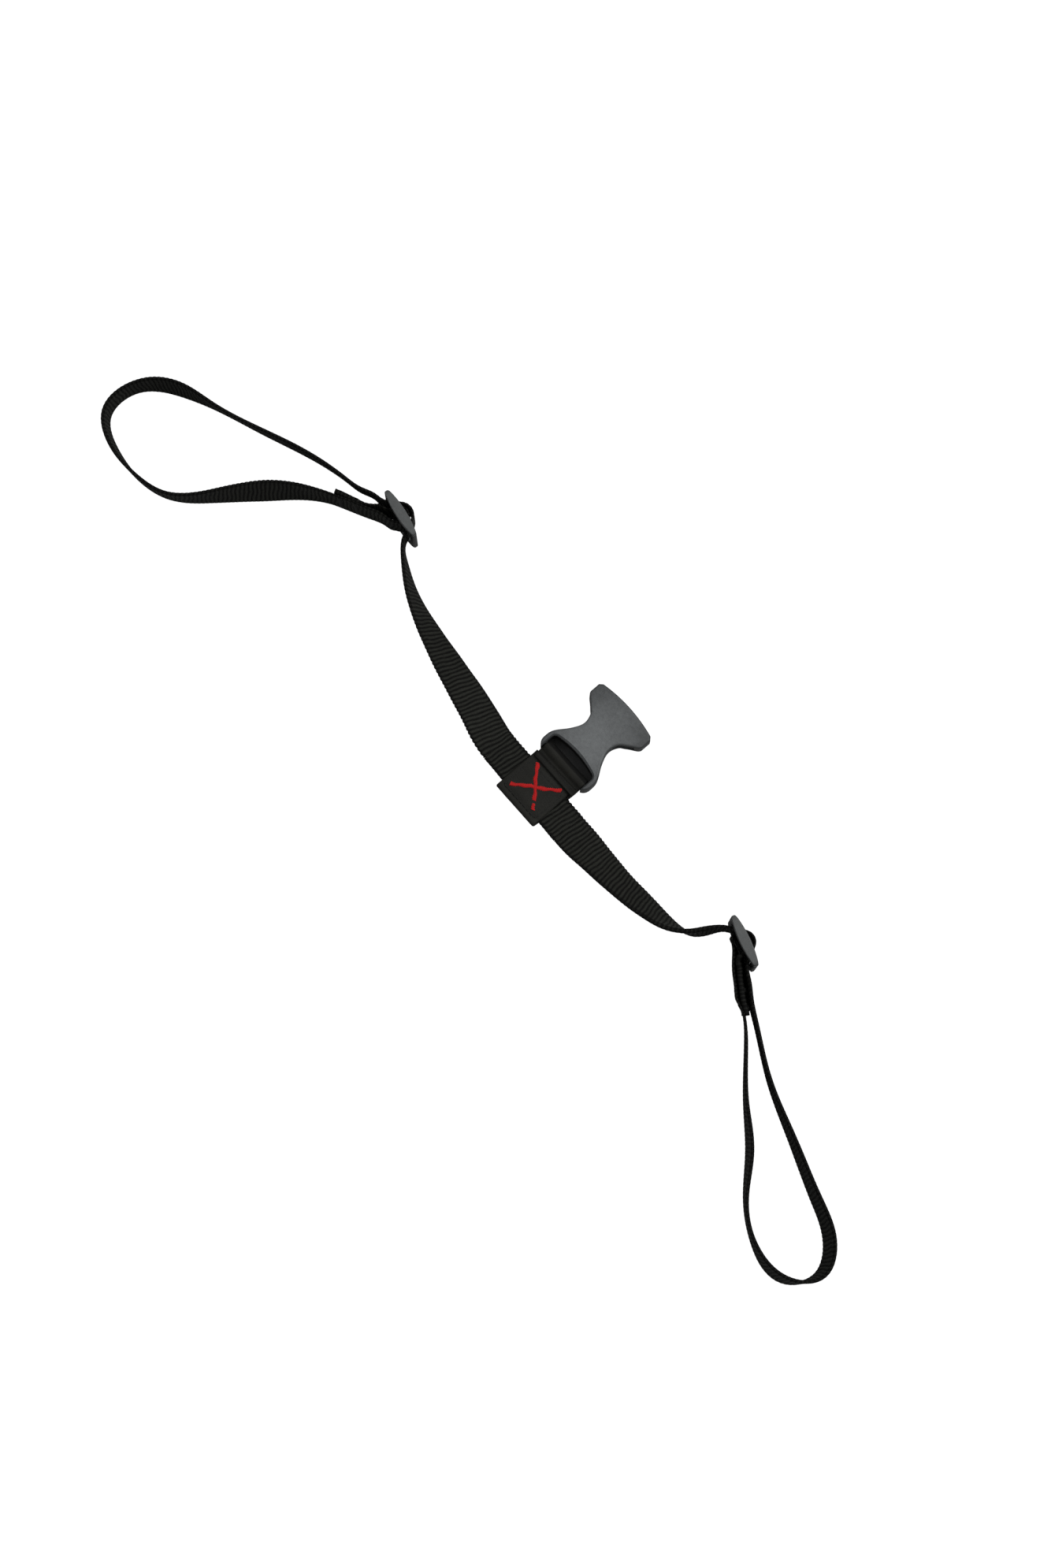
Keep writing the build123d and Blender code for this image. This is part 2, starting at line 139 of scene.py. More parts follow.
# The two halves of the strap, from its flat middle outwards. Each row of a way is X, Y, the lean of
# the webbing from flat in degrees, and its edge's lift. The slider has its centre, its turn from X
# and the sign of the way from it to the loop. "stout" is how much thicker the run is, "ribs_turned"
# the change of its ribs' slant, "slack" and "wrap_slack" the play of the webbing that passes over
# the centre bar and of the sewn end round it, and "tail" the length and the extra thickness of the
# folded tail.
LEFT = {
    "name": "left",
    "body": "left_adjuster",
    "centre": (-161.5, 42.1),
    "turn": -9.0,
    "loop_sign": -1,
    "stout": 1.3,
    "ribs_turned": 0.0,
    "slack": 2.1,
    "run": [
        (-49, 2.5, 13, 0.4), (-74, 7, 31, 0), (-101, 12, 50.5, 0), (-129, 20.5, 74, 1.5),
        (-142, 27.6, 84, 3.2),
    ],
    "loop": [
        (-180.5, 39.5, 83.5, 3.9), (-189.6, 36.3, 81.5, 2.8), (-199.7, 34.2, 81.5, 1.8),
        (-226, 27.5, 83, 0.5), (-254, 16.5, 82, 0), (-281, 6.5, 83, 0), (-304, -3, 95, 0),
        (-319.2, -19.3, 89, 0),
        (-318.5, -42, 91, 0), (-302, -51.5, 97, 0), (-278, -52.9, 95, 0), (-260.4, -47.8, 96, 0),
        (-240, -25, 85, 0), (-221.5, 0.5, 74, 0), (-206, 15, 86, 1.0), (-194.5, 22, 88, 2.2),
    ],
    "sewn_heading": (34, 18),
    "wrap_slack": 1.3,
    "sewn_outer": [
        (-194.5, 22, 88, 2.2), (-185.3, 26.6, 87, 3.0), (-174.8, 31.6, 88, 4.0), (-166.4, 35.0, 89, 4.5),
        (-161.2, 37.1, 90, 4.5),
    ],
    "sewn_inner": [
        (-168, 38.8, 97, 4.5), (-171.4, 36.0, 104, 3.8), (-175.7, 33.0, 99, 3.4), (-186.0, 28.0, 92, 3.0),
        (-196.4, 23.8, 91, 2.2),
    ],
    "tail": (20, 1.3),
    "wrap_headings": ((1.5, 2.9), (-3.4, -4.7)),
}
RIGHT = {
    "name": "right",
    "body": "right_adjuster",
    "centre": (141.6, 26.2),
    "turn": -16.8,
    "loop_sign": 1,
    "stout": 1.8,
    "ribs_turned": 0.26,
    "slack": 1.1,
    "run": [
        (46, -2, -15, 0.4), (71, -1.5, -37, 0), (95, 1, -53, 0), (111.5, 4.8, -75, 1.0),
        (118.9, 9.8, -89, 2.2),
    ],
    "loop": [
        (159.3, 14.2, 90, 4.2), (167.5, 8.7, 91, 3.8), (178.5, 2.5, 92, 3.0), (206.5, -12.5, 91, 0.8),
        (236.3, -23.7, 86, 0), (270.4, -36.1, 81, 0), (291.4, -45.6, 78, 0), (301.2, -62, 82, 0),
        (290.7, -77.3, 97, 0), (266.2, -77.2, 91, 0), (244.3, -63.7, 90, 0), (227.3, -45.7, 95, 0),
        (207.2, -30.2, 90, 0), (184.8, -10.2, 87, 1.0), (170.5, 1, 86, 2.2),
    ],
    "sewn_heading": (-17, 10),
    "wrap_slack": 0.3,
    "sewn_outer": [
        (170.0, 0.7, 86, 2.2), (165.2, 3.6, 75, 2.0), (159.1, 7.7, 73, 2.2), (149.8, 13.6, 77, 3.2),
        (141.6, 20.4, 79, 4.3), (136.4, 22.8, 86, 4.5), (134.2, 24.5, 90, 4.5), (137.1, 26.3, 90, 4.5),
    ],
    "sewn_inner": [
        (146.4, 20.0, 100, 4.5), (150.9, 16.7, 103, 3.6), (155.0, 13.4, 101, 2.8), (160.4, 9.6, 100, 2.2),
        (166.6, 5.5, 99, 2.0), (171.6, 2.3, 95, 2.0),
    ],
    "tail": (38, 1.5),
    "wrap_headings": ((1.9, 2.1), (1.1, -7.3)),
}


# --- Curves ---------------------------------------------------------------------------------------

def unit(vectors):
    """Each vector divided by its length."""
    vectors = np.asarray(vectors, float)
    return vectors / np.linalg.norm(vectors, axis=-1, keepdims=True)


def smooth_step(t):
    """t^2 (3 - 2t) of t held between 0 and 1."""
    t = np.clip(t, 0, 1)
    return t ** 2 * (3 - 2 * t)


def bell(x, reach):
    """exp(-(x / reach)^2)."""
    return np.exp(-(x / reach) ** 2)


def marks_along(points):
    """The distance of each point of a line from its first point, measured along the line."""
    steps = np.linalg.norm(np.diff(np.asarray(points, float), axis=0), axis=1)
    return np.concatenate([[0], np.cumsum(steps)])


def sampled(at, marks, rows):
    """Rows read off at distances, with straight lines between the marks."""
    return np.stack([np.interp(at, marks, column) for column in np.asarray(rows).T], 1)


def arc_points(centre, radius, start, end, count):
    """Points centre + radius (cos a, sin a) for angles a from start to end."""
    angles = np.linspace(start, end, count)
    return np.array(centre) + radius * np.stack([np.cos(angles), np.sin(angles)], 1)


def clamped_spline(marks, rows, first_slope, last_slope, at):
    """Cubic spline through rows at marks. On a span of length h it is the Hermite blend
    (1+2t)(1-t)^2 a + t(1-t)^2 h m0 + t^2(3-2t) b - t^2(1-t) h m1, and the slopes m solve
    h1 m0 + 2(h0+h1) m1 + h0 m2 = 3(h1 d0 + h0 d1), which keeps the curvature continuous."""
    marks, rows, at = (np.asarray(a, float) for a in (marks, rows, at))
    spans = np.diff(marks)
    chords = np.diff(rows, axis=0) / spans[:, None]
    count = len(marks)
    system = np.eye(count)
    known = np.zeros_like(rows)
    known[0], known[-1] = first_slope, last_slope
    inner = np.arange(1, count - 1)
    system[inner, inner - 1] = spans[1:]
    system[inner, inner] = 2 * (spans[:-1] + spans[1:])
    system[inner, inner + 1] = spans[:-1]
    known[1:-1] = 3 * (spans[1:, None] * chords[:-1] + spans[:-1, None] * chords[1:])
    slopes = np.linalg.solve(system, known)
    span = np.clip(np.searchsorted(marks, at, side="right") - 1, 0, count - 2)
    length = spans[span][:, None]
    t = (at - marks[span])[:, None] / length
    return (
        (1 + 2 * t) * (1 - t) ** 2 * rows[span] + t * (1 - t) ** 2 * length * slopes[span]
        + t ** 2 * (3 - 2 * t) * rows[span + 1] - t ** 2 * (1 - t) * length * slopes[span + 1]
    )


def raised(plan, lean, lift, flip=1):
    """Centre line and width direction of webbing over a plan line. The width direction is the
    left-hand side turned up by the lean. The centre's height is sqrt(lift^2 + (f sin)^2) +
    sin width / 2 + cos thickness / 2 of the lean, which puts the lower edge at its lift, and where
    the lift is small keeps the fuller webbing's edge, which stands out by f, off the floor."""
    heading = unit(np.gradient(plan, axis=0))
    tilt = np.radians(lean)
    side = np.stack([-heading[:, 1], heading[:, 0]], 1)
    across = np.concatenate([side * np.cos(tilt)[:, None], np.sin(tilt)[:, None]], 1) * flip
    rise, spread = np.abs(np.sin(tilt)), np.abs(np.cos(tilt))
    high = np.hypot(lift, FULLER_EDGE * rise) + rise * STRAP_WIDTH / 2 + spread * STRAP_THICK / 2
    return np.concatenate([plan, high[:, None]], 1), across


def way_through(rows, first_heading, last_heading, flip=1):
    """Centre line and width direction along a spline through the rows of a way."""
    rows = np.asarray(rows, float)
    marks = marks_along(rows[:, :2])
    at = np.linspace(0, marks[-1], int(marks[-1] / FINE) + 2)
    plan = clamped_spline(marks, rows[:, :2], unit(first_heading), unit(last_heading), at)
    rest = clamped_spline(marks, rows[:, 2:], (0, 0), (0, 0), at)
    return raised(plan, rest[:, 0], np.maximum(rest[:, 1], 0), flip)


def joined(*parts):
    """Several stretches of (centre line, width direction) in one, each point once."""
    centre = np.concatenate([p[0] if i == 0 else p[0][1:] for i, p in enumerate(parts)])
    across = np.concatenate([p[1] if i == 0 else p[1][1:] for i, p in enumerate(parts)])
    return centre, across


def softened(values, reach):
    """Each column averaged with its neighbours by the bell exp(-(n / reach)^2 / 2) of their
    distance n in rows; the ends stay, because the rows beyond them are mirrored through them."""
    offsets = np.arange(-3 * reach, 3 * reach + 1)
    weights = np.exp(-0.5 * (offsets / reach) ** 2)
    weights /= weights.sum()
    pad = len(offsets) // 2
    head = 2 * values[:1] - values[pad:0:-1]
    tail = 2 * values[-1:] - values[-2:-pad - 2:-1]
    longer = np.concatenate([head, values, tail])
    return np.stack([np.convolve(column, weights, "valid") for column in longer.T], 1)


def evenly(centre, across):
    """The stretch sampled again at equal steps of its own length, slightly softened, as the arrays
    distance, centre, across and normal."""
    marks = marks_along(centre)
    distance = np.linspace(0, marks[-1], max(4, int(round(marks[-1] / STEP))) + 1)
    point = softened(sampled(distance, marks, centre), SOFTER)
    wide = softened(sampled(distance, marks, across), SOFTER)
    heading = unit(np.gradient(point, axis=0))
    normal = unit(np.cross(heading, wide))
    return distance, point, np.cross(normal, heading), normal


# --- The strap's way through a slider --------------------------------------------------------------

def slider_axes(side):
    """Unit vectors along the slider towards its loop, and across it, in plan."""
    turn = math.radians(side["turn"])
    along = np.array([math.cos(turn), math.sin(turn)]) * side["loop_sign"]
    across = np.array([-math.sin(turn), math.cos(turn)])
    return along, across


def at_slider(side, local):
    """Points of the plan, from rows of distances along the slider towards its loop and across it."""
    along, across = slider_axes(side)
    local = np.asarray(local, float)
    return np.array(side["centre"]) + local[..., :1] * along + local[..., 1:] * across


def seen_from_bar(side, point):
    """The distances along and across the slider of a point of the plan."""
    offset = np.asarray(point, float) - np.array(side["centre"])
    along, across = slider_axes(side)
    return np.array([offset @ along, offset @ across])


def tangent_angle(local, radius, turn):
    """Angle, on a circle about the centre bar, where the line from an outside point touches it:
    the point's own angle, turned by acos(radius / distance)."""
    reach = math.hypot(*local)
    return math.atan2(local[1], local[0]) + turn * math.acos(radius / reach)


def upright(side, local, flip):
    """A stretch of upright webbing over a line given in the slider's own distances."""
    marks = marks_along(local)
    at = np.linspace(0, marks[-1], int(marks[-1] / FINE) + 2)
    plan = at_slider(side, sampled(at, marks, local))
    high = np.full(len(plan), SLIDER_LIFT + STRAP_WIDTH / 2)
    across = np.tile([0.0, 0.0, float(flip)], (len(plan), 1))
    return np.concatenate([plan, high[:, None]], 1), across


def round_bar(side, first, last, radius, flip):
    """Upright webbing between two points, along their tangents and an arc about the centre bar, and
    the directions in which it comes in and goes out."""
    start = tangent_angle(first, radius, -1) % (2 * math.pi)
    end = tangent_angle(last, radius, 1)
    count = max(8, int(abs(end - start) * radius / FINE))
    arc = arc_points((0, 0), radius, start, end, count)
    way_in = at_slider(side, arc[0]) - at_slider(side, first)
    way_out = at_slider(side, last) - at_slider(side, arc[-1])
    return upright(side, np.concatenate([[first], arc, [last]]), flip), way_in, way_out


def strap_side(side):
    """The strap from its flat middle to its sewn tail as stretches: run, loop and sewn end. The
    loop starts with the pass under the slider's end bars and over its centre bar."""
    flip = -1 if side["run"][0][2] < 0 else 1
    run_gate = (PASS_GAP - SLOT_EDGE, -UNDER_BAR - RUN_DROP)
    loop_gate = (SLOT_EDGE - PASS_GAP, -UNDER_BAR)
    bar_pass, way_in, way_out = round_bar(side, run_gate, loop_gate, PASS_RADIUS + side["slack"], flip)

    heading = FLAT_HEADING * math.copysign(1, side["run"][0][0])
    begin = heading * FLAT_HALF + (0, STRAP_OFFSET)
    last = (*at_slider(side, run_gate), 90 * flip, SLIDER_LIFT)
    run = way_through([(*begin, 0, STRAP_LIFT), *side["run"], last], heading, way_in)

    first = (*at_slider(side, loop_gate), 90, SLIDER_LIFT)
    loop = way_through([first, *side["loop"]], way_out, side["sewn_heading"], flip)

    into, out = side["wrap_headings"]
    ahead = np.array(side["sewn_heading"])
    outer = way_through(side["sewn_outer"], ahead, into, flip)
    inner = way_through(side["sewn_inner"], out, -ahead, flip)
    from_outer = seen_from_bar(side, outer[0][-1, :2])
    to_inner = seen_from_bar(side, inner[0][0, :2])
    wrap, _, _ = round_bar(side, from_outer, to_inner, WRAP_RADIUS + side["wrap_slack"], flip)
    return {"run": run, "loop": joined(bar_pass, loop), "sewn": joined(outer, wrap, inner)}


# --- Meshes ---------------------------------------------------------------------------------------

def make_piece(name, points, faces, uv=None):
    """A smooth mesh object at the origin from points in millimetres, rows of corner numbers, and
    the points' own (u, v)."""
    mesh = bpy.data.meshes.new(name)
    mesh.from_pydata(np.asarray(points) * MM, [], np.asarray(faces).tolist())
    if uv is not None:
        layer = mesh.uv_layers.new(name="weave")
        corners = np.empty(len(mesh.loops), np.int32)
        mesh.loops.foreach_get("vertex_index", corners)
        layer.data.foreach_set("uv", np.asarray(uv, np.float32)[corners].ravel())
    mesh.polygons.foreach_set("use_smooth", np.full(len(mesh.polygons), True))
    mesh.update()
    piece = bpy.data.objects.new(name, mesh)
    bpy.context.scene.collection.objects.link(piece)
    return piece


def ring_faces(rows, ring):
    """Quads of a tube of rows, each a closed ring of points, with a fan-free cap at both ends."""
    row, slot = np.meshgrid(np.arange(rows - 1) * ring, np.arange(ring), indexing="ij")
    after = (slot + 1) % ring
    quads = np.stack([row + slot, row + after, row + ring + after, row + ring + slot], -1)
    low = np.arange(ring // 2 - 1)
    cap = np.stack([low, low + 1, ring - 2 - low, ring - 1 - low], 1)
    last = cap[:, ::-1] + (rows - 1) * ring
    return np.concatenate([quads.reshape(-1, 4)[:, ::-1], cap, last])


def band_section(width, thick, count):
    """Half a band's section: positions across from -1 to 1, closer together at the edges, and the
    half thickness there, which is level and then falls as a quarter ellipse over the rim."""
    angles = np.linspace(-math.pi / 2, math.pi / 2, count)
    across = np.sin(angles) * EDGE_CROWD + np.linspace(-1, 1, count) * (1 - EDGE_CROWD)
    rim = thick * RIM / (width / 2)
    fall = np.clip((np.abs(across) - (1 - rim)) / rim, 0, 1)
    half = thick / 2 * np.sqrt(1 - fall ** 2 * 0.94)
    return across, half


def webbing(name, stretch, width, thick, pitch=RIB_PITCH, depth=RIB_DEPTH, phase=0.0, scallop=0.045,
            count=17, turned=0.0, full=(1, 1), ease=(8, 8, 8), press=None):
    """A band of ribbed webbing along a stretch. A point is centre + across * w + normal * h.

    w spans the width and draws in between ribs by the scallop, more at one edge than at the other.
    h is the half thickness less depth (1 - |sin(pi a / pitch)|)^1.6, which gives round ribs with
    narrow valleys. Here a is the distance s along the band plus w times the ribs' slant, which
    changes by turned over the first stretch, and two slow crossed waves make it wander. The depth
    varies along the band in the same way. The ribs fade to a plain selvage behind a shallow
    groove, and fine yarns run along them, staggered from rib to rib.
    The band is fuller by the two factors of full, for width and thickness. They come in over the
    three distances of ease: for the width at the start, for the thickness there, and for both at
    the end. press(s, w, face) moves the upper (face 1) and the lower (face -1) surface."""
    distance, point, wide, normal = evenly(*stretch)
    pitch = distance[-1] / max(1, round(distance[-1] / pitch))
    across, half = band_section(width, thick, count)
    s, w = np.meshgrid(distance, across * width / 2, indexing="ij")
    near = [smooth_step(d / max(e, 0.01)) for d, e in zip((s, s, distance[-1] - s), ease)]
    broader = 1 + (full[0] - 1) * near[0] * near[2]
    thicker = 1 + (full[1] - 1) * near[1] * near[2]

    from_selvage = width / 2 - SELVAGE - np.abs(w)
    inside = 1 / (1 + np.exp(-from_selvage / SELVAGE_FADE))
    ahead = s + w * (RIB_SLANT + turned * smooth_step(s / TURN_LENGTH))
    wobble = 0.28 * np.sin(s * 0.37 + w * 0.31 + phase) + 0.22 * np.sin(s * 0.13 - w * 0.55)
    turn = np.pi * ahead / pitch + wobble * inside
    uneven = 1 + 0.22 * np.sin(s * 0.83 + phase * 2) * np.sin(w * 0.31 + s * 0.19)
    valley = depth * uneven * (1 - np.abs(np.sin(turn))) ** VALLEY_POWER * inside
    drop = valley + GROOVE_DEPTH * bell(from_selvage, GROOVE_REACH)
    yarn = np.cos(w * 2 * np.pi / YARN_WIDTH + np.floor(turn / np.pi) * np.pi)
    high = half * thicker - drop + YARN_RELIEF * yarn * inside
    sides = [high * face + (0 if press is None else press(s, w, face)) for face in (1, -1)]

    notch = scallop * (0.65 + 0.35 * np.tanh(w / 3))
    drawn = notch * (1 - np.abs(np.sin(np.pi * ahead / pitch))) + 0.006 * np.sin(s * 0.29 + phase)
    spread = w * (1 - drawn) * broader
    middle = point[:, None] + wide[:, None] * spread[..., None]
    top, under = (middle + normal[:, None] * part[..., None] for part in sides)
    rings = np.concatenate([top, under[:, ::-1]], 1)
    uv = np.stack([w, turn / np.pi], -1)
    uv = np.concatenate([uv, uv[:, ::-1]], 1)
    faces = ring_faces(len(distance), 2 * count)
    return make_piece(name, rings.reshape(-1, 3), faces, uv.reshape(-1, 2))


# --- Finishes -------------------------------------------------------------------------------------

class Wire:
    """An output of a node; arithmetic on it adds Math nodes."""

    def __init__(self, nodes, socket):
        self.nodes = nodes
        self.socket = socket

    def _math(self, operation, *values):
        return self.nodes.add("ShaderNodeMath", {"operation": operation}, values)

    def __add__(self, other):
        return self._math("ADD", self, other)

    def __radd__(self, other):
        return self._math("ADD", other, self)

    def __sub__(self, other):
        return self._math("SUBTRACT", self, other)

    def __rsub__(self, other):
        return self._math("SUBTRACT", other, self)

    def __mul__(self, other):
        return self._math("MULTIPLY", self, other)

    def __rmul__(self, other):
        return self._math("MULTIPLY", other, self)

    def __pow__(self, other):
        return self._math("POWER", self, other)

    def __rpow__(self, other):
        return self._math("POWER", other, self)

    def function(self, operation):
        """A function of one value, such as SINE."""
        return self._math(operation, self)

    def clamped(self):
        """The same value, which its own Math node now holds between 0 and 1."""
        self.socket.node.use_clamp = True
        return self


class Nodes:
    """The nodes of a material or a world, all made by one method."""

    def __init__(self, owner, output):
        owner.use_nodes = True
        self.tree = owner.node_tree
        self.tree.nodes.clear()
        self.surface = self.tree.nodes.new(output).inputs["Surface"]

    def add(self, kind, settings=(), inputs=(), output=0):
        """A node of that kind with its settings made first, then its inputs set or linked."""
        node = self.tree.nodes.new(kind)
        for setting, value in dict(settings).items():
            if setting == "stops":
                for element, stop in zip(node.color_ramp.elements, value):
                    element.position, element.color = stop
            else:
                setattr(node, setting, value)
        pairs = inputs.items() if isinstance(inputs, dict) else enumerate(inputs)
        for key, value in pairs:
            self.feed(node.inputs[key], value)
        return Wire(self, node.outputs[output])

    def feed(self, socket, value):
        """Links a wire to a socket, or sets the socket to a value."""
        if isinstance(value, Wire):
            self.tree.links.new(value.socket, socket)
        else:
            socket.default_value = value

    def split(self, vector):
        """The three numbers of a vector."""
        node = self.add("ShaderNodeSeparateXYZ", {}, [vector]).socket.node
        return [Wire(self, output) for output in node.outputs]

    def unless_seen(self, shader, seen_shader, share=1.0):
        """The first shader, but towards the camera the second one, by its share."""
        ray = self.add("ShaderNodeLightPath", {}, {}, "Is Camera Ray")
        self.feed(self.surface, self.add("ShaderNodeMixShader", {}, [ray * share, shader, seen_shader]))


class Finish(Nodes):
    """A material with one Principled shader."""

    def __init__(self, name, **constants):
        self.material = bpy.data.materials.new(name)
        super().__init__(self.material, "ShaderNodeOutputMaterial")
        inputs = {socket.replace("_", " "): value for socket, value in constants.items()}
        shader = self.add("ShaderNodeBsdfPrincipled", {}, inputs)
        self.shader = shader.socket.node
        self.feed(self.surface, shader)

    def put(self, socket, value):
        """Links or sets one of the shader's sockets."""
        self.feed(self.shader.inputs[socket], value)

    def mix(self, share, first, second):
        """The colour between two colours."""
        return self.add("ShaderNodeMix", {"data_type": "RGBA"}, {0: share, 6: first, 7: second}, 2)

    def noise(self, coordinates, scale, detail=3.0, rough=0.5):
        """Soft cloudy values from 0 to 1."""
        inputs = {"Vector": coordinates, "Scale": scale, "Detail": detail, "Roughness": rough}
        return self.add("ShaderNodeTexNoise", {}, inputs)

    def place(self):
        """The piece's own coordinates, in metres."""
        return self.add("ShaderNodeTexCoord", {}, {}, "Object")

    def away(self, place, centre, reach):
        """The vector from a centre to a place, each part measured in its own reach."""
        offset = self.add("ShaderNodeVectorMath", {"operation": "SUBTRACT"}, [place, centre])
        return self.add("ShaderNodeVectorMath", {"operation": "DIVIDE"}, [offset, reach])

    def weave(self):
        """The webbing's own coordinates: millimetres across it, and ribs or picks along it."""
        return self.split(self.add("ShaderNodeUVMap", {"uv_map": "weave"}))[:2]

    def bump(self, height, distance):
        """Links a Bump node of that height, in metres for a height of 1, to the shader's Normal."""
        self.put("Normal", self.add("ShaderNodeBump", {}, {"Distance": distance, "Height": height}))


def colour(red, green, blue):
    """Linear colour of an sRGB value from 0 to 255: ((c + 0.055) / 1.055) ^ 2.4 above the toe."""
    parts = np.array([red, green, blue]) / 255
    linear = np.where(parts > 0.04045, ((parts + 0.055) / 1.055) ** 2.4, parts / 12.92)
    return (*[float(part) for part in linear], 1.0)


def metres(*sizes):
    """Millimetres as metres, for a material's coordinates."""
    return tuple(size * MM for size in sizes)


def ribbed_webbing():
    """Black ribbed webbing: warp yarns over weft cords, dull, with a painted highlight on the
    crests, single ribs and streaks across that are lighter or darker, and darker towards both edges."""
    finish = Finish("ribbed webbing", Specular_IOR_Level=0.12)
    across, ribs = finish.weave()
    rank = ribs.function("FLOOR")
    crest = (ribs * math.pi).function("SINE").function("ABSOLUTE")
    yarn = (across * (2 * math.pi / YARN_WIDTH) + rank * math.pi).function("SINE") * 0.5 + 0.5
    place = finish.place()
    grain = finish.noise(place, 900.0, 2.0)
    patches = finish.noise(place, 60.0)
    stretched = finish.add("ShaderNodeCombineXYZ", {}, [across * 0.35, ribs * 2.2])
    streaks = finish.noise(stretched, 1.0, 3.0, 0.6)
    odd = finish.add("ShaderNodeTexWhiteNoise", {"noise_dimensions": "1D"}, {"W": rank})
    # Darker towards both edges, over their last 1.5 mm
    edge = ((across.function("ABSOLUTE") - (STRAP_WIDTH / 2 - 1.5)) * 1.6).clamped()
    # Painted highlight: the crest terms make each rib lighter along its crest, where the light catches it;
    # the yarn and the odd rib vary that highlight
    shade = crest ** 2.0 * 0.46 + yarn * crest * 0.14 + odd * crest * 0.12
    shade = shade + grain * 0.24 + patches * 0.24 + streaks * 0.6
    shade = (shade - 0.55 - edge * 0.35).clamped()
    finish.put("Base Color", finish.mix(shade, colour(7, 7, 6), colour(51, 52, 47)))
    finish.put("Roughness", 0.82 - crest * 0.16 + (grain - 0.5) * 0.1)
    finish.bump(yarn * crest * 0.7 + grain * 0.6, 0.00012)
    return finish.material


def plain_webbing():
    """Black plain-woven webbing: a fine over-and-under weave with a slight shine, and painted shade
    along the tab's hem and where it goes down into the socket."""
    finish = Finish("plain webbing", Specular_IOR_Level=0.15)
    across, picks = finish.weave()
    warp = (across * (2 * math.pi / TAB_YARN)).function("SINE")
    weft = (picks * (2 * math.pi)).function("SINE")
    weave = warp * weft * 0.5 + 0.5
    place = finish.place()
    grain = finish.noise(place, 1200.0, 2.0)
    patches = finish.noise(place, 90.0)
    shade = weave * 0.25 + grain * 0.3 + patches * 0.55 - 0.03
    x, y, _ = finish.split(place)
    # Painted shade where the tab goes down into the socket's end
    painted_slot_shade = ((y - (SOCKET_Y + SLOT_SHADE) * MM) * 700.0).clamped()
    shade = shade - painted_slot_shade * 1.2
    # Painted shade along the hem's edge, its seam and the strip between: a middle, a reach to either side,
    # and a depth
    hem_line = y + x * CREASE_SHADE_SLANT
    for middle, reach, depth in ((TAB_HEM, 1.2, 0.3), (HEM_SEAM, 1.4, 0.25), (HEM_SEAM - 1.2, 4.5, 0.15)):
        off = (hem_line - middle * MM).function("ABSOLUTE")
        shade = shade - (1.0 - off * (1 / (reach * MM))).clamped() * depth
    finish.put("Base Color", finish.mix(shade.clamped(), colour(11, 11, 10), colour(47, 47, 43)))
    finish.put("Roughness", 0.62 + grain * 0.2)
    finish.bump(weave * 0.8 + grain * 0.5, 0.00010)
    return finish.material


def moulded_grey(name, dark, light, painted_light=None, shaded_hollow=None):
    """Grey moulded plastic: faint flow clouds, a fine grain and satin shine. Its steep sides get
    painted shade, darker than its faces. The painted light and the shaded hollow are each a centre
    and a reach in metres: about the one the plastic is painted lighter, as a pool of light, and
    within the other it is painted dark, as shade."""
    finish = Finish(name, Specular_IOR_Level=0.4)
    place = finish.place()
    broad = finish.noise(place, 38.0, 2.0)
    if painted_light is not None:
        # Painted light: lighter by 0.35 less the square of the distance from the centre, counted in reaches
        away = finish.away(place, *painted_light)
        reach = finish.add("ShaderNodeVectorMath", {"operation": "LENGTH"}, [away], "Value")
        broad = broad + 0.35 - reach * reach
    clouds = finish.noise(place, 420.0, 4.0, 0.7)
    grain = finish.noise(place, 1500.0, 2.0)
    shade = (broad * 0.7 + clouds * 0.9 + grain * 0.4 - 0.5).clamped()
    base = finish.mix(shade, dark, light)
    # Painted shade: steep sides are mixed towards a dark grey
    facing = finish.add("ShaderNodeNewGeometry", {}, {}, "Normal")
    level = finish.split(facing)[2].function("ABSOLUTE")
    steep = ((0.82 - level) * 2.0).clamped()
    base = finish.mix(steep * 0.6, base, colour(34, 35, 35))
    if shaded_hollow is not None:
        # Painted shade in the hollow: a box with soft sides, 6 (1 - |part|) of each part of the way from
        # its centre
        inside = 0.96
        for part in finish.split(finish.away(place, *shaded_hollow)):
            inside = ((1.0 - part.function("ABSOLUTE")) * 6.0).clamped() * inside
        base = finish.mix(inside, base, colour(3, 3, 3))
    finish.put("Base Color", base)
    finish.put("Roughness", 0.42 + clouds * 0.14 + grain * 0.08)
    finish.bump(grain * 0.6 + clouds * 1.2, 0.00007)
    return finish.material


def thread(name, dark, light):
    """Twisted sewing thread: slanting strands across each stitch."""
    finish = Finish(name, Roughness=0.75, Sheen_Weight=0.1, Specular_IOR_Level=0.3)
    place = finish.place()
    grain = finish.noise(place, 1400.0, 2.0)
    waves = {"Vector": place, "Scale": 500.0}
    strand = finish.add("ShaderNodeTexWave", {"bands_direction": "DIAGONAL"}, waves)
    shade = strand * 0.5 + grain * 0.5
    finish.put("Base Color", finish.mix(shade, dark, light))
    finish.bump(shade, 0.00008)
    return finish.material


RIBBED = ribbed_webbing()
PLAIN = plain_webbing()
SOCKET_GREY = moulded_grey(
    "socket grey", colour(66, 68, 69), colour(109, 112, 113),
    painted_light=(metres(2, 42, 6), metres(22, 32, 40)), shaded_hollow=(metres(2.5, 26, 3.2), metres(18.5, 9, 6)),
)
SLIDER_GREY = moulded_grey("slider grey", colour(66, 68, 68), colour(94, 96, 96))
RED = thread("red thread", colour(138, 8, 9), colour(215, 22, 23))
BLACK = thread("black thread", colour(5, 5, 5), colour(30, 30, 28))


def dress(piece, material):
    """Gives the piece its material."""
    piece.data.materials.clear()
    piece.data.materials.append(material)
    return piece


# --- Stitches -------------------------------------------------------------------------------------

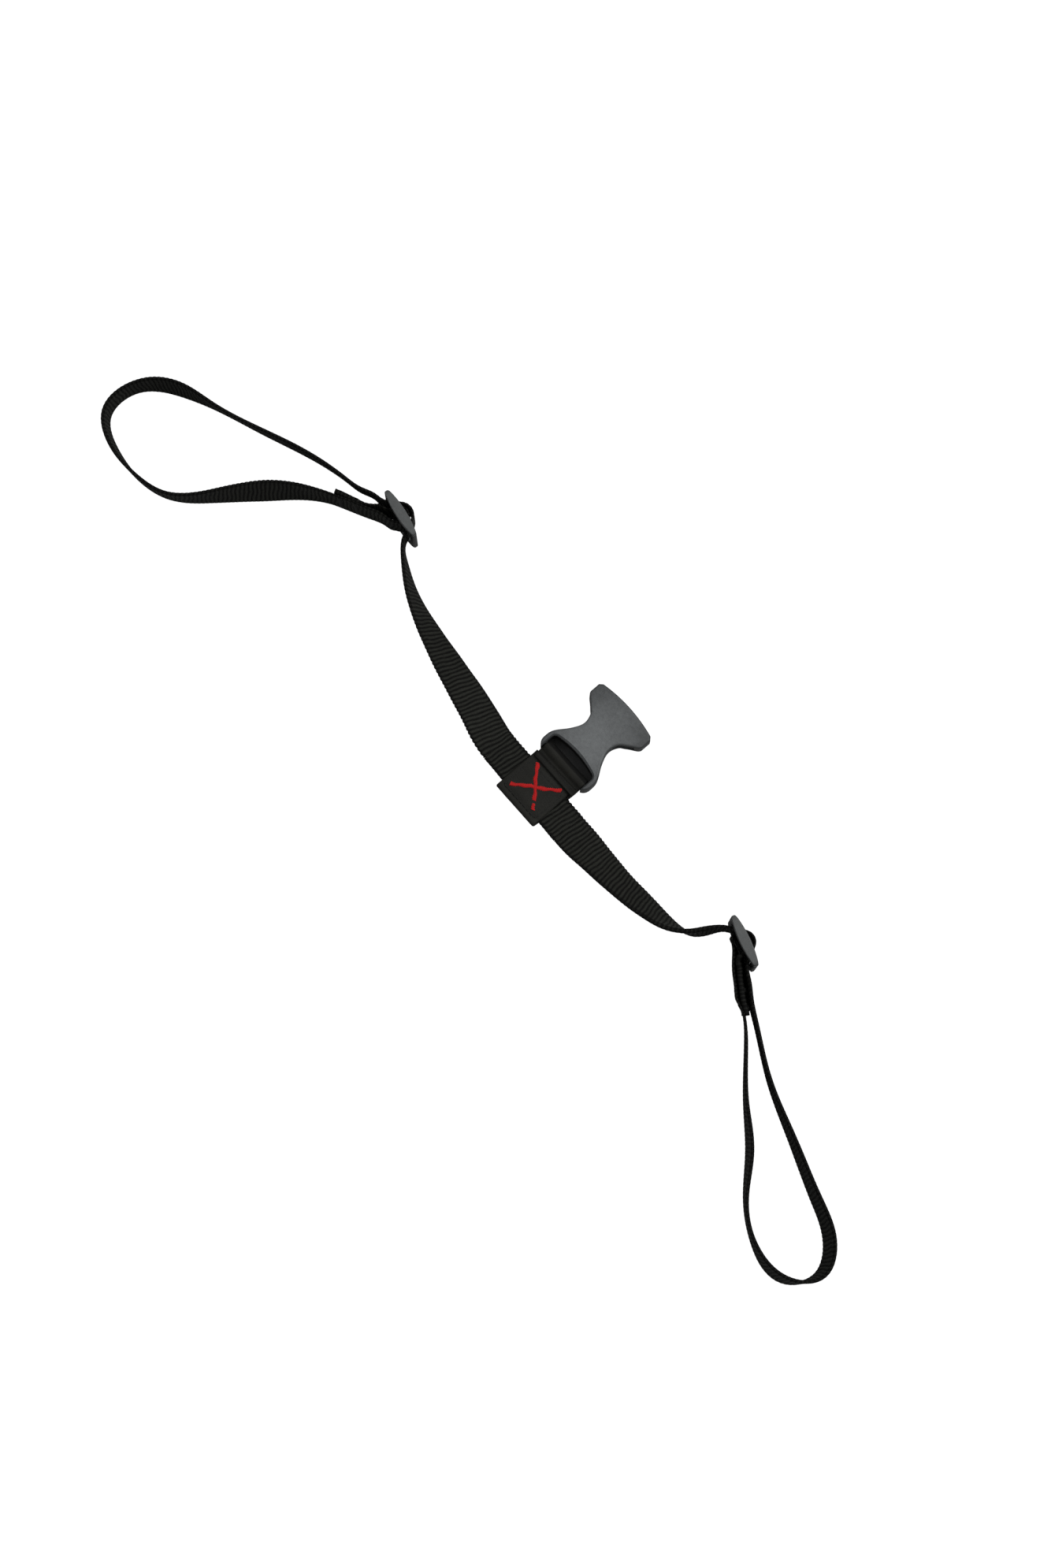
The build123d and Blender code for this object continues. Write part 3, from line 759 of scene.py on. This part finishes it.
def stitches(name, starts, ends, outward, material, radius, rise, slot=None):
    """Many stitches as one piece. A stitch is a tube along start + (end - start) (1 + u) / 2 for u
    from -1 to 1, which stands off the cloth by rise * sqrt(1 - u^2) - 0.8 radius and thins at its
    ends by 1 - 0.6 u^4."""
    u = np.sin(np.linspace(-math.pi / 2, math.pi / 2, STITCH_ROWS))
    turn = np.arange(STITCH_RING) * 2 * math.pi / STITCH_RING
    outward = unit(outward)
    beside = unit(np.cross(outward, unit(ends - starts)))
    middle = starts[:, None] + (ends - starts)[:, None] * ((1 + u) / 2)[:, None]
    middle = middle + outward[:, None] * (rise * np.sqrt(1 - u ** 2 * 0.999) - radius * 0.8)[:, None]
    thin = radius * (1 - 0.6 * u ** 4)
    ring = np.cos(turn)[:, None] * beside[:, None, None] + np.sin(turn)[:, None] * outward[:, None, None]
    points = middle[:, :, None] + ring * thin[:, None, None]
    first = np.arange(len(starts)) * STITCH_ROWS * STITCH_RING
    faces = ring_faces(STITCH_ROWS, STITCH_RING)[None] + first[:, None, None]
    return dress(make_piece(name, points.reshape(-1, 3), faces.reshape(-1, 4)), material)


def satin_bar(first, last, gap, swing, height):
    """Starts and ends of the slanting stitches of one arm, none of them inside the gap's shares of
    its length. They wander by two waves of the share along it, and their length varies by two
    more."""
    first, last = np.array(first), np.array(last)
    share = np.arange(0, 1, SATIN_PITCH / np.linalg.norm(last - first))
    share = share[(share < gap[0]) | (share > gap[1])]
    along = unit(last - first)
    slant = math.radians(SATIN_LEAN)
    lie = np.array([along[0] * math.cos(slant) - along[1] * math.sin(slant),
                    along[0] * math.sin(slant) + along[1] * math.cos(slant)])
    rank = np.arange(len(share))
    half = 0.5 * (SATIN_LENGTH + 0.35 * np.sin(share * 19 + swing) + 0.3 * np.sin(rank * 2.4 + swing))
    drift = 0.22 * np.sin(share * 11 + swing * 2) + 0.16 * np.sin(share * 31 + swing)
    middle = first + (last - first) * share[:, None] + lie * drift[:, None]
    level = np.full((len(share), 1), height)
    return [np.hstack([middle + lie * (way * half)[:, None], level]) for way in (-1, 1)]


def seam(corners, height, length=2.3, pitch=2.9):
    """Starts and ends of running stitches along a line through corners, at a height."""
    marks = marks_along(corners)
    at = np.arange(0.3, marks[-1] - length, pitch)
    level = np.full((len(at), 1), height)
    return [np.hstack([sampled(where, marks, corners), level]) for where in (at, at + length)]


def upward(lines):
    """The starts, ends and outward directions of several lines of stitches on the tab."""
    starts, ends = (np.concatenate(pair) for pair in zip(*lines))
    return starts, ends, np.tile([0.0, 0.0, 1.0], (len(starts), 1))


def cross_stitches():
    """The red cross: two arms of close stitches, one over the other, with a slip near one end."""
    low = satin_bar((-8.7, 9.1), (9.8, -10.0), (0.80, 0.86), 0.4, TAB_TOP)
    high = satin_bar((-9.8, -9.6), (11.9, 8.5), (2, 2), 1.9, TAB_TOP + 0.12)
    piece = stitches("cross_stitches", *upward((low, high)), RED, radius=0.27, rise=0.42, slot="red_thread")
    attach(piece, "strap")
    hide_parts("cross_stitch")


def tab_stitches():
    """Black stitches round the tab's square and along its hem."""
    square = seam([(-11.9, 7.2), (-12.0, -12.4), (13.9, -12.4), (14.3, 7.4), (-11.9, 7.2)], TAB_TOP)
    hem = seam([(-12.2, 14.4), (15.0, 13.4)], HEM_TOP - 0.35)
    piece = stitches("tab_seams", *upward((square, hem)), BLACK, radius=0.22, rise=0.2)
    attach(piece, "strap")


def bar_tacks(name, body, stretch, extra):
    """Two bars of close stitches across the webbing on both outer faces of a sewn end, the tail's
    face being further out by the extra."""
    distance, point, wide, normal = evenly(*stretch)
    rows = np.hstack([point, wide, normal])
    away = np.sign(normal[0] @ (point[0] - point[-1]))
    across = np.arange(-TACK_HALF, TACK_HALF, TACK_SPACING)
    starts, ends, outward = [], [], []
    for near in TACK_PLACES:
        for from_end in (False, True):
            high = STRAP_THICK / 2 - 0.06 + extra * from_end
            for shift, lean, out in ((-TACK_REACH, 0.0, starts), (TACK_REACH, 0.5, ends)):
                at = distance[-1] - near - shift if from_end else near + shift
                middle, side, face = np.split(sampled([at], distance, rows)[0], 3)
                side, face = unit(side), unit(face) * away
                out.append(middle + side * (across + lean)[:, None] + face * high)
            outward.append(np.tile(face, (len(across), 1)))
    joints = (np.concatenate(part) for part in (starts, ends, outward))
    piece = stitches(name, *joints, BLACK, radius=0.24, rise=0.3)
    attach(piece, body)


# --- Webbing pieces -------------------------------------------------------------------------------

def centre_strap():
    """The flat middle of the strap, a straight stretch."""
    plan = np.linspace(-FLAT_HALF, FLAT_HALF, 300)[:, None] * FLAT_HEADING + (0, STRAP_OFFSET)
    flat = np.zeros(len(plan))
    stretch = raised(plan, flat, flat + STRAP_LIFT)
    piece = webbing("centre_webbing", stretch, STRAP_WIDTH * STRAP_BROADER, STRAP_THICK)
    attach(dress(piece, RIBBED), "strap")
    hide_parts("centre_strap")


def doubled_tail(length, extra):
    """The press of a webbing whose last length is folded on itself: half the extra thickness on
    either face, which comes in over 8 mm by a smooth step."""
    def press(s, w, face):
        return face * extra / 2 * smooth_step((s - (s.max() - length)) / 8)
    return press


def strap_end(side):
    """Run, loop and sewn end of one side."""
    name, body = side["name"], side["body"]
    stretches = strap_side(side)
    run = webbing(f"{name}_run_webbing", stretches["run"], STRAP_WIDTH, STRAP_THICK, phase=1.0,
                  turned=side["ribs_turned"], full=(STRAP_BROADER, side["stout"]), ease=(0, 30, 14))
    dress(run, RIBBED)
    x, y, _, _ = side["run"][0]
    near, far = np.array([x, y, 0.0]), stretches["run"][0][-1] * (1, 1, 0)
    travel = far - near
    near * MM
    (far - travel * 0.12) * MM
    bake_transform(run)
    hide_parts(f"{name}_run")
    loop = webbing(f"{name}_loop_webbing", stretches["loop"], STRAP_WIDTH, STRAP_THICK, phase=2.0,
                   full=LOOP_FULLER, ease=(60, 60, 16))
    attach(dress(loop, RIBBED), body)
    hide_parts(f"{name}_loop")
    sewn = webbing(f"{name}_sewn_webbing", stretches["sewn"], STRAP_WIDTH, STRAP_THICK,
                   depth=SEWN_RIB_DEPTH, phase=3.0, press=doubled_tail(*side["tail"]))
    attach(dress(sewn, RIBBED), body)
    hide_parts(f"{name}_sewn_end")
    bar_tacks(f"{name}_bar_tacks", body, stretches["sewn"], side["tail"][1] / 2)
    dress(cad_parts[f"{name}_slider"], SLIDER_GREY)


def tab_strip():
    """The tab's middle line in the Y-Z plane, from the hidden end of its top, round the fold,
    beneath the strap, round the socket's bar and down onto itself: half circles joined by splines
    whose end slopes are in millimetres over the whole spline."""
    low, high = TAB_THICK / 2, TAB_TOP - TAB_THICK / 2
    fold = (high - low) / 2
    fold_at = TAB_FOLD + TAB_THICK / 2 + fold
    bar = np.array([SOCKET_Y + WEB_BAR_RADIUS + WEB_BAR_INSET, SOCKET_THICK / 2])
    wrap = WEB_BAR_RADIUS + BAR_GAP + TAB_THICK / 2
    hem_z = high + TAB_THICK + LAYER_GAP
    rise = TAB_HEM + TAB_OVERLAP
    t = np.linspace(0, 1, 60)
    leave = np.array([rise - 4, low])
    under = clamped_spline([0, 1], [leave, bar - (0, wrap)], (12, 0), (12, 0.2), t)
    back = clamped_spline([0, 1], [bar + (0, wrap), (rise - 1, hem_z)], (-9, -0.2), (-9, 0), t)
    return np.concatenate([
        [(rise - 1, high)],
        arc_points((fold_at, (high + low) / 2), fold, math.pi / 2, math.pi * 1.5, 40),
        under,
        arc_points(bar, wrap, -math.pi / 2, math.pi / 2, 40)[1:],
        back[1:],
        [(TAB_HEM, hem_z)],
    ])


def tab_press(s, w, face):
    """Pulls both faces of the tab down along its seams by bells of the distance, two at the hem and
    one beside the fold, and adds soft waves that die away over the last 3 mm."""
    back = s.max() - s
    hem_seam = HEM_SEAM - TAB_HEM + HEM_SLANT * w
    pull = 0.42 * bell(back - hem_seam, 0.7) + 0.12 * bell(back - hem_seam - 2.6, 1.1)
    pull = pull + 0.55 * bell(s - FOLD_SEAM, 1.9)
    soft = 0.05 * np.sin(s * 0.9 + w * 0.35) * np.sin(w * 0.41 - s * 0.23)
    return soft * np.clip(back / 3, 0, 1) - pull


def tab_web():
    """The folded tab as one band along its strip, which drifts along X by a soft step
    1 / (1 + exp(-d / 8)) of the distance d past 62 % of its length."""
    strip = tab_strip()
    marks = marks_along(strip)
    step = 1 / (1 + np.exp(-(marks - marks[-1] * 0.62) / 8))
    drift = TAB_X + TAB_DRIFT * (step - 0.5)
    centre = np.stack([drift, strip[:, 0], strip[:, 1]], 1)
    across = np.tile([1.0, 0.0, 0.0], (len(strip), 1))
    piece = webbing("tab_webbing", (centre, across), TAB_WIDTH, TAB_THICK, pitch=TAB_PICK, depth=0.05,
                    scallop=0.006, count=31, full=(TAB_BROADER, 1), ease=(marks[-1] * 0.8, 0, 0),
                    press=tab_press)
    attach(dress(piece, PLAIN), "strap")
    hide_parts("buckle_web")


# --- Floor, light and camera ----------------------------------------------------------------------

def floor():
    """A plain pale floor: a flat square whose material shows pale and takes the shadow."""
    reach = 6000.0
    corners = [(-reach, -reach, 0), (reach, -reach, 0), (reach, reach, 0), (-reach, reach, 0)]
    plane = make_piece("floor", corners, [(0, 1, 2, 3)])
    material = bpy.data.materials.new("floor")
    nodes = Nodes(material, "ShaderNodeOutputMaterial")
    matt = nodes.add("ShaderNodeBsdfDiffuse", {}, {"Color": (0.42, 0.42, 0.42, 1)})
    glow = nodes.add("ShaderNodeEmission", {}, {"Strength": 1.2})
    nodes.unless_seen(matt, glow, 0.84)
    dress(plane, material)


def area_lamp(name, place, size, power):
    """A square soft lamp at a place, turned towards the strap; metres and watts."""
    data = bpy.data.lights.new(name, "AREA")
    data.shape, data.size, data.energy = "SQUARE", size, power
    lamp = bpy.data.objects.new(name, data)
    bpy.context.scene.collection.objects.link(lamp)
    lamp.location = place
    lamp.rotation_mode = "QUATERNION"
    lamp.rotation_quaternion = (-Vector(place)).to_track_quat("-Z", "Y")


def light():
    """A dim room that is brighter overhead, a broad lamp beyond the buckle and a weak one opposite."""
    world = bpy.data.worlds.new("studio")
    nodes = Nodes(world, "ShaderNodeOutputWorld")
    height = nodes.split(nodes.add("ShaderNodeTexCoord", {}, {}, "Generated"))[2]
    stops = ((0.15, (0.10, 0.10, 0.10, 1)), (0.95, (1, 1, 1, 1)))
    shade = nodes.add("ShaderNodeValToRGB", {"stops": stops}, [height])
    room = nodes.add("ShaderNodeBackground", {}, {"Color": shade, "Strength": 0.45})
    pale = nodes.add("ShaderNodeBackground", {}, {"Color": (1, 1, 1, 1)})
    nodes.unless_seen(room, pale)
    bpy.context.scene.world = world
    area_lamp("key", (0.5, 1.0, 1.5), size=0.9, power=19)
    area_lamp("fill", (-1.2, -0.4, 1.4), size=1.2, power=5)


def camera():
    """A camera above the strap, turned so that the strap runs down the view from left to right."""
    turn, climb, away = math.radians(48.8), math.radians(80), 1.6
    right = Vector((math.cos(turn), math.sin(turn), 0))
    level = math.cos(climb)
    back = Vector((level * math.sin(turn), -level * math.cos(turn), math.sin(climb)))
    up = back.cross(right)
    target = right * -0.00843 + up * 0.00149
    view_height = 0.437e-3 * 1990
    data = bpy.data.cameras.new("camera")
    data.sensor_fit = "VERTICAL"
    data.sensor_height = 36
    data.lens = data.sensor_height * away / view_height
    eye = bpy.data.objects.new("camera", data)
    bpy.context.scene.collection.objects.link(eye)
    axes = Matrix((right, up, back)).transposed().to_4x4()
    eye.matrix_world = Matrix.Translation(target + back * away) @ axes
    bpy.context.scene.camera = eye


# --- Everything -----------------------------------------------------------------------------------

centre_strap()
for strap_half in (LEFT, RIGHT):
    strap_end(strap_half)
tab_web()
dress(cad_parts["buckle_socket"], SOCKET_GREY)
cross_stitches()
tab_stitches()
floor()
light()
camera()
bpy.context.scene.view_settings.view_transform = "Standard"
